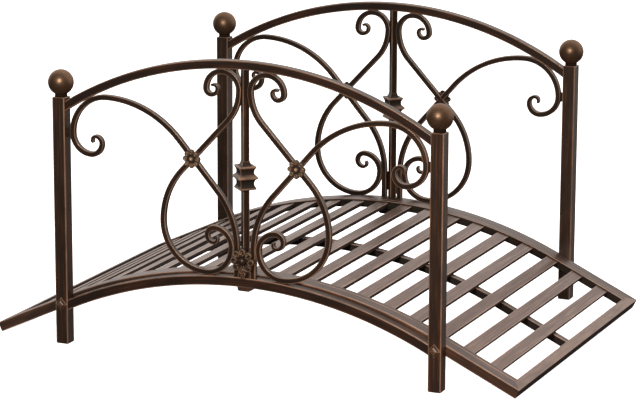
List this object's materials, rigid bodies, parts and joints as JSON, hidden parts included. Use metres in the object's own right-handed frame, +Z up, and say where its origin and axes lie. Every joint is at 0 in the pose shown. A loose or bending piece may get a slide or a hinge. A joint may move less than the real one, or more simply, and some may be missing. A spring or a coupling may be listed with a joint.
{
  "type": "garden moon bridge",
  "caption": "Small arched garden footbridge: a slatted metal deck between arched scrollwork railings, on square posts topped with ball finials.",
  "frame": {"origin": "on the ground under the middle of the deck", "axes": "+X along the bridge, +Y across it, +Z up"},
  "size_m": [1.0524, 0.7424, 0.567],
  "materials": {
    "post_tube": "brushed antique bronze",
    "rail_tube": "brushed antique bronze",
    "ornament": "brushed antique bronze",
    "rosette": "brushed antique bronze",
    "finial": "brushed antique bronze",
    "deck_frame": "brushed antique bronze",
    "deck_slat": "brushed antique bronze"
  },
  "bodies": {
    "root": {"front_left_post": "post_tube", "front_right_post": "post_tube", "back_left_post": "post_tube", "back_right_post": "post_tube", "front_handrail": "rail_tube", "back_handrail": "rail_tube", "front_lower_rail": "rail_tube", "back_lower_rail": "rail_tube", "front_left_inner_scroll": "ornament", "front_right_inner_scroll": "ornament", "back_left_inner_scroll": "ornament", "back_right_inner_scroll": "ornament", "front_left_outer_scroll": "ornament", "front_right_outer_scroll": "ornament", "back_left_outer_scroll": "ornament", "back_right_outer_scroll": "ornament", "front_centre_bar": "ornament", "back_centre_bar": "ornament", "front_collar": "ornament", "back_collar": "ornament", "front_left_rosette": "rosette", "front_right_rosette": "rosette", "back_left_rosette": "rosette", "back_right_rosette": "rosette", "front_foot_rosette": "rosette", "back_foot_rosette": "rosette", "front_left_ball_finial": "finial", "front_right_ball_finial": "finial", "back_left_ball_finial": "finial", "back_right_ball_finial": "finial", "front_deck_rail": "deck_frame", "back_deck_rail": "deck_frame", "front_deck_strip": "deck_frame", "back_deck_strip": "deck_frame", "front_bracket": "deck_frame", "back_bracket": "deck_frame", "left_end_bar": "deck_frame", "right_end_bar": "deck_frame", "deck_spine": "deck_frame", "left_slats": "deck_slat", "middle_slats": "deck_slat", "right_slats": "deck_slat"}
  },
  "joints": []
}
